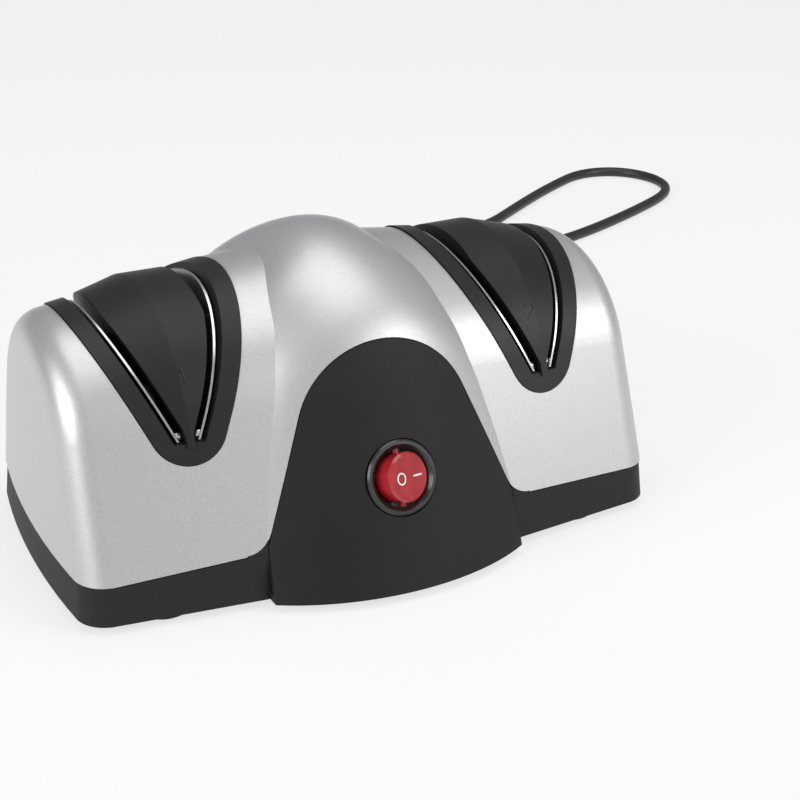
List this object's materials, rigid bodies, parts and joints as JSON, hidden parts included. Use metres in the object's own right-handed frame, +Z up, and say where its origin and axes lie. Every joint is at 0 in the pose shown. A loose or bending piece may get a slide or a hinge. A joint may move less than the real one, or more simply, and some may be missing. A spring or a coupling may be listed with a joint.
{
  "type": "electric knife sharpener",
  "caption": "Corded bench knife sharpener with arched silver shell, dark base, black slotted blade guides and a round red rocker switch.",
  "frame": {"origin": "on the ground under the middle of the casing, its lead left out", "axes": "+X along the casing to stage 2, the viewer's right; +Y from the switch to the back; +Z up"},
  "size_m": [0.3984, 0.3332, 0.0985],
  "materials": {
    "shell_silver": "satin silver paint with a fine metallic fleck",
    "tray_dark": "fine sprayed texture",
    "panel_dark": "fine sprayed texture",
    "guide_black": "half-gloss moulding with a light grain",
    "spring_steel": "bright rolled strip",
    "steel": "turned steel",
    "motor_zinc": "zinc-plated sheet",
    "magnet": "sintered",
    "inner_plastic": "natural moulding",
    "brass_parts": "turned",
    "abrasive_coarse": "resin-bonded grit, coarse",
    "abrasive_fine": "resin-bonded grit, fine",
    "board_green": "solder mask",
    "component_black": "moulded",
    "terminal_white": "moulded",
    "switch_black": "half-gloss moulding",
    "rocker_red": "tinted, slightly see-through",
    "foot_rubber": "matt",
    "lead_black": "smooth sheath",
    "tie_black": "flat band",
    "plug_metal": "nickel-plated",
    "wire_blue": "thin insulation"
  },
  "bodies": {
    "housing": {"upper_shell": "shell_silver", "base_tray": "tray_dark", "front_panel": "panel_dark", "guide_insert_1": "guide_black", "guide_insert_2": "guide_black", "motor_can": "motor_zinc", "motor_magnets": "magnet", "motor_end_cap_left": "motor_zinc", "motor_end_cap_right": "motor_zinc", "bearing_bush_left": "brass_parts", "bearing_bush_right": "brass_parts", "bearing_bracket_left": "inner_plastic", "bearing_bracket_right": "inner_plastic", "motor_cradle": "inner_plastic", "motor_strap": "steel", "control_board": "board_green", "bridge_rectifier": "component_black", "capacitor": "component_black", "terminal_block": "terminal_white", "switch_body": "switch_black", "switch_terminals": "brass_parts", "chassis_screws": "steel", "case_screws": "steel", "foot_front_left": "foot_rubber", "foot_front_right": "foot_rubber", "foot_back_left": "foot_rubber", "foot_back_right": "foot_rubber", "strain_relief": "lead_black", "cord": "lead_black", "cord_coil": "lead_black", "cord_to_plug": "lead_black", "cord_tie": "tie_black", "plug_body": "lead_black", "plug_pins": "plug_metal", "cord_clamp": "inner_plastic", "lead_wires": "wire_blue"},
    "rotor": {"motor_shaft": "steel", "motor_armature": "steel", "shaft_coupling_left": "inner_plastic", "shaft_coupling_right": "inner_plastic", "wheel_shaft_left": "steel", "wheel_shaft_right": "steel", "wheel_hub_1": "brass_parts", "wheel_hub_2": "brass_parts", "wheel_nut_1": "steel", "wheel_nut_2": "steel", "grinding_wheel_1a": "abrasive_coarse", "grinding_wheel_1b": "abrasive_coarse", "grinding_wheel_2a": "abrasive_fine", "grinding_wheel_2b": "abrasive_fine", "wheel_spacer_1": "inner_plastic", "wheel_spacer_2": "inner_plastic"},
    "rocker": {"switch_rocker": "rocker_red"},
    "spring_1_outer": {"blade_spring_1_outer": "spring_steel"},
    "spring_1_inner": {"blade_spring_1_inner": "spring_steel"},
    "spring_2_outer": {"blade_spring_2_outer": "spring_steel"},
    "spring_2_inner": {"blade_spring_2_inner": "spring_steel"}
  },
  "joints": [
    {"name": "rotor_spin", "type": "hinge", "parent": "housing", "child": "rotor", "pos_m": [0, 0.00435, 0.042], "axis": [1, 0, 0], "continuous": true},
    {"name": "rocker_press", "type": "hinge", "parent": "housing", "child": "rocker", "pos_m": [0, -0.05458, 0.03488], "axis": [0, -0.3535, -0.9354], "range_deg": [0, 31]},
    {"name": "spring_1_outer_flex", "type": "hinge", "parent": "housing", "child": "spring_1_outer", "pos_m": [-0.06423, 0.00435, 0.0524], "axis": [0, -1, 0], "range_deg": [0, 1.3], "stiffness_Nm_per_rad": 0.5},
    {"name": "spring_1_inner_flex", "type": "hinge", "parent": "housing", "child": "spring_1_inner", "pos_m": [-0.05777, 0.00435, 0.0524], "axis": [0, 1, 0], "range_deg": [0, 1.3], "stiffness_Nm_per_rad": 0.5},
    {"name": "spring_2_outer_flex", "type": "hinge", "parent": "housing", "child": "spring_2_outer", "pos_m": [0.06423, 0.00435, 0.0524], "axis": [0, 1, 0], "range_deg": [0, 1.3], "stiffness_Nm_per_rad": 0.5},
    {"name": "spring_2_inner_flex", "type": "hinge", "parent": "housing", "child": "spring_2_inner", "pos_m": [0.05777, 0.00435, 0.0524], "axis": [0, -1, 0], "range_deg": [0, 1.3], "stiffness_Nm_per_rad": 0.5}
  ]
}
